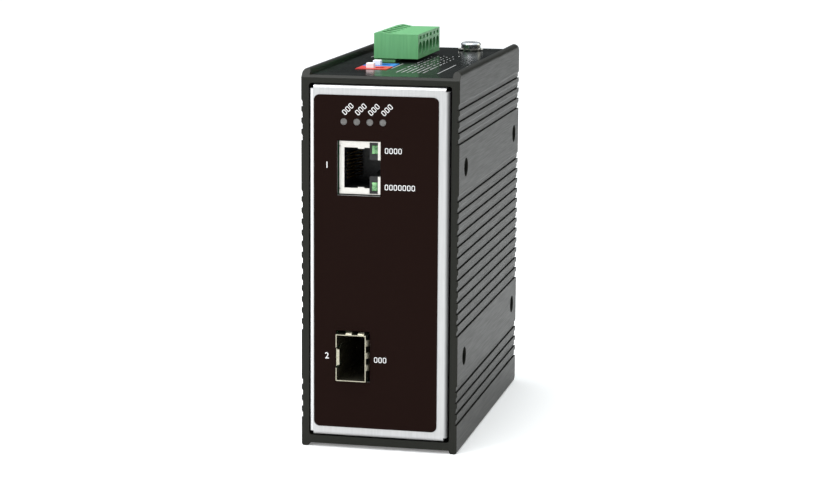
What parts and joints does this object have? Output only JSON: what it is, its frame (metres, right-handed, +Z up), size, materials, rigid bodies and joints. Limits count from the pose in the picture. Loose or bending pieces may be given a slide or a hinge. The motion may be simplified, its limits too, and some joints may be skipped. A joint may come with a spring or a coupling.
{
  "type": "fibre media converter",
  "caption": "Rail-mounted fibre media converter with a grooved dark case, bright front panel, network jack, fibre cage, switches and a green pluggable terminal",
  "frame": {"origin": "the ground under the middle of the object's bounding box", "axes": "+X right seen from the front, +Y to the back, +Z up"},
  "size_m": [0.0468, 0.1094, 0.1192],
  "materials": {
    "case": "satin dark grey anodised extrusion",
    "bright_panel": "fine satin sheet",
    "dark_film": "printed matt film",
    "dark_screws": "black oxide steel",
    "gloss_plate": "glossy black plate with plain white marks",
    "board": "green solder mask",
    "tin_steel": "tinned thin sheet",
    "black_plastic": "moulded black",
    "gold_contacts": "gold plated",
    "green_lens": "translucent pale green",
    "clear_lens": "milky lens",
    "red_plastic": "moulded red",
    "blue_plastic": "moulded blue",
    "white_plastic": "moulded white",
    "green_plastic": "moulded green",
    "zinc_steel": "bright zinc plate",
    "clip_metal": "black coated metal",
    "relay_plastic": "moulded yellow",
    "ferrite": "pressed ferrite",
    "capacitor_can": "sleeved aluminium can"
  },
  "bodies": {
    "chassis": {"housing": "case", "front_panel": "bright_panel", "front_overlay": "dark_film", "front_panel_screws": "dark_screws", "rear_cover": "bright_panel", "rear_cover_screws": "dark_screws", "top_plate": "gloss_plate", "main_board": "board", "jack_shield": "tin_steel", "jack_insert": "black_plastic", "jack_contacts": "gold_contacts", "jack_lamps": "green_lens", "fibre_cage": "tin_steel", "cage_connector": "black_plastic", "lamp_holder": "black_plastic", "status_lamps": "clear_lens", "red_switch_body": "red_plastic", "blue_switch_body": "blue_plastic", "terminal_header": "green_plastic", "header_pins": "tin_steel", "rail_clip": "clip_metal", "rail_clip_screws": "zinc_steel", "latch_spring": "zinc_steel", "main_chip": "black_plastic", "line_transformer": "black_plastic", "alarm_relay": "relay_plastic", "power_inductor": "ferrite", "supply_capacitors": "capacitor_can", "clock_crystal": "tin_steel"},
    "plug": {"plug_body": "green_plastic", "plug_contacts": "gold_contacts"},
    "red_lever": {"red_switch_lever": "white_plastic"},
    "blue_lever": {"blue_switch_lever": "white_plastic"},
    "earth_washer": {"ground_washer": "zinc_steel"},
    "earth_screw": {"ground_screw": "zinc_steel"},
    "latch": {"rail_latch": "clip_metal"},
    "clamp_1": {"wire_clamp_1": "zinc_steel"},
    "screw_1": {"clamp_screw_1": "zinc_steel"},
    "clamp_2": {"wire_clamp_2": "zinc_steel"},
    "screw_2": {"clamp_screw_2": "zinc_steel"},
    "clamp_3": {"wire_clamp_3": "zinc_steel"},
    "screw_3": {"clamp_screw_3": "zinc_steel"},
    "clamp_4": {"wire_clamp_4": "zinc_steel"},
    "screw_4": {"clamp_screw_4": "zinc_steel"},
    "clamp_5": {"wire_clamp_5": "zinc_steel"},
    "screw_5": {"clamp_screw_5": "zinc_steel"},
    "clamp_6": {"wire_clamp_6": "zinc_steel"},
    "screw_6": {"clamp_screw_6": "zinc_steel"}
  },
  "joints": [
    {"name": "plug_pull", "type": "slide", "parent": "chassis", "child": "plug", "axis": [0, 0, 1], "range_m": [0, 0.008]},
    {"name": "red_lever_slide", "type": "slide", "parent": "chassis", "child": "red_lever", "axis": [1, 0, 0], "range_m": [0, 0.0026]},
    {"name": "blue_lever_slide", "type": "slide", "parent": "chassis", "child": "blue_lever", "axis": [1, 0, 0], "range_m": [0, 0.0026]},
    {"name": "earth_washer_rise", "type": "slide", "parent": "chassis", "child": "earth_washer", "axis": [0, 0, 1], "range_m": [0, 0.001]},
    {"name": "earth_screw_turn", "type": "hinge", "parent": "earth_washer", "child": "earth_screw", "pos_m": [0.0091, 0.03725, 0.1118], "axis": [0, 0, 1], "range_deg": [0, 730]},
    {"name": "latch_slide", "type": "slide", "parent": "chassis", "child": "latch", "axis": [0, 0, -1], "range_m": [0, 0.003], "stiffness_N_per_m": 400, "springref_m": -0.0005, "deforming": ["latch_spring"]},
    {"name": "clamp_screw_turn_1", "type": "hinge", "parent": "plug", "child": "screw_1", "pos_m": [-0.00905, -0.00433, 0.1179], "axis": [0, 0, -1], "range_deg": [0, 890]},
    {"name": "wire_clamp_rise_1", "type": "slide", "parent": "plug", "child": "clamp_1", "axis": [0, 0, 1], "range_m": [0, 0.0011]},
    {"name": "clamp_screw_turn_2", "type": "hinge", "parent": "plug", "child": "screw_2", "pos_m": [-0.00905, 0.00075, 0.1179], "axis": [0, 0, -1], "range_deg": [0, 890]},
    {"name": "wire_clamp_rise_2", "type": "slide", "parent": "plug", "child": "clamp_2", "axis": [0, 0, 1], "range_m": [0, 0.0011]},
    {"name": "clamp_screw_turn_3", "type": "hinge", "parent": "plug", "child": "screw_3", "pos_m": [-0.00905, 0.00583, 0.1179], "axis": [0, 0, -1], "range_deg": [0, 890]},
    {"name": "wire_clamp_rise_3", "type": "slide", "parent": "plug", "child": "clamp_3", "axis": [0, 0, 1], "range_m": [0, 0.0011]},
    {"name": "clamp_screw_turn_4", "type": "hinge", "parent": "plug", "child": "screw_4", "pos_m": [-0.00905, 0.01091, 0.1179], "axis": [0, 0, -1], "range_deg": [0, 890]},
    {"name": "wire_clamp_rise_4", "type": "slide", "parent": "plug", "child": "clamp_4", "axis": [0, 0, 1], "range_m": [0, 0.0011]},
    {"name": "clamp_screw_turn_5", "type": "hinge", "parent": "plug", "child": "screw_5", "pos_m": [-0.00905, 0.01599, 0.1179], "axis": [0, 0, -1], "range_deg": [0, 890]},
    {"name": "wire_clamp_rise_5", "type": "slide", "parent": "plug", "child": "clamp_5", "axis": [0, 0, 1], "range_m": [0, 0.0011]},
    {"name": "clamp_screw_turn_6", "type": "hinge", "parent": "plug", "child": "screw_6", "pos_m": [-0.00905, 0.02107, 0.1179], "axis": [0, 0, -1], "range_deg": [0, 890]},
    {"name": "wire_clamp_rise_6", "type": "slide", "parent": "plug", "child": "clamp_6", "axis": [0, 0, 1], "range_m": [0, 0.0011]}
  ],
  "couplings": [
    {"joint": "earth_screw_turn", "follows": "earth_washer_rise", "rad_per_m": 12566},
    {"joint": "clamp_screw_turn_1", "follows": "wire_clamp_rise_1", "rad_per_m": 13963},
    {"joint": "clamp_screw_turn_2", "follows": "wire_clamp_rise_2", "rad_per_m": 13963},
    {"joint": "clamp_screw_turn_3", "follows": "wire_clamp_rise_3", "rad_per_m": 13963},
    {"joint": "clamp_screw_turn_4", "follows": "wire_clamp_rise_4", "rad_per_m": 13963},
    {"joint": "clamp_screw_turn_5", "follows": "wire_clamp_rise_5", "rad_per_m": 13963},
    {"joint": "clamp_screw_turn_6", "follows": "wire_clamp_rise_6", "rad_per_m": 13963}
  ]
}
